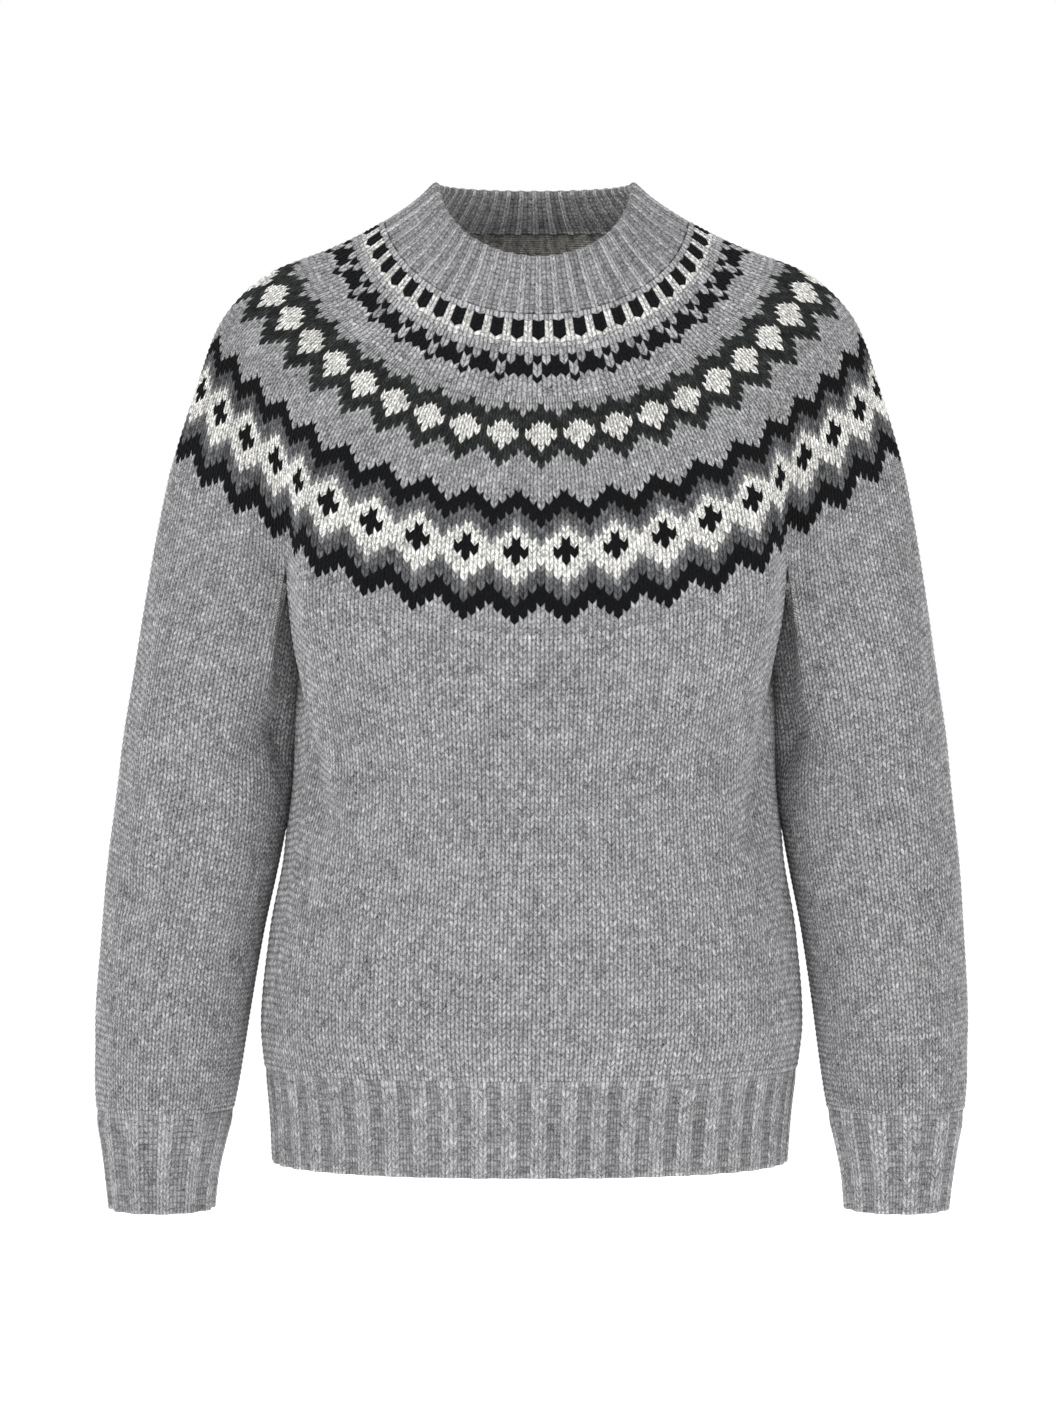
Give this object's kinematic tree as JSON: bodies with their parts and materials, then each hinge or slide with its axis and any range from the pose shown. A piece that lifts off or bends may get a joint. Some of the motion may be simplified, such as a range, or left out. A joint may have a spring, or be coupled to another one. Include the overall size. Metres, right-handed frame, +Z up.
{
  "type": "round-yoke knitted sweater",
  "caption": "Long-sleeved wool pullover in hollow worn form, with a ribbed crew neck, cuffs and hem and a stranded colour yoke running round the shoulders.",
  "frame": {"origin": "middle of the neck opening, level with the points where the neckband meets the shoulders, where the wearer's neck and shoulders hold the sweater up", "axes": "+Z up, -Y to the front of the sweater, +X to the wearer's left"},
  "size_m": [0.571, 0.247, 0.676],
  "materials": {
    "plain_knit": "heathered mid-grey wool stockinette with a soft halo of fibres",
    "rib_knit": "heathered mid-grey wool rib",
    "yoke_knit": "stranded wool knit in mid grey, charcoal, dark grey, black and off-white"
  },
  "bodies": {
    "root": {"neckband": "rib_knit", "yoke": "yoke_knit", "body_front": "plain_knit", "body_back": "plain_knit", "hem_front": "rib_knit", "hem_back": "rib_knit", "sleeve_left": "plain_knit", "sleeve_right": "plain_knit", "cuff_left": "rib_knit", "cuff_right": "rib_knit"}
  },
  "joints": []
}
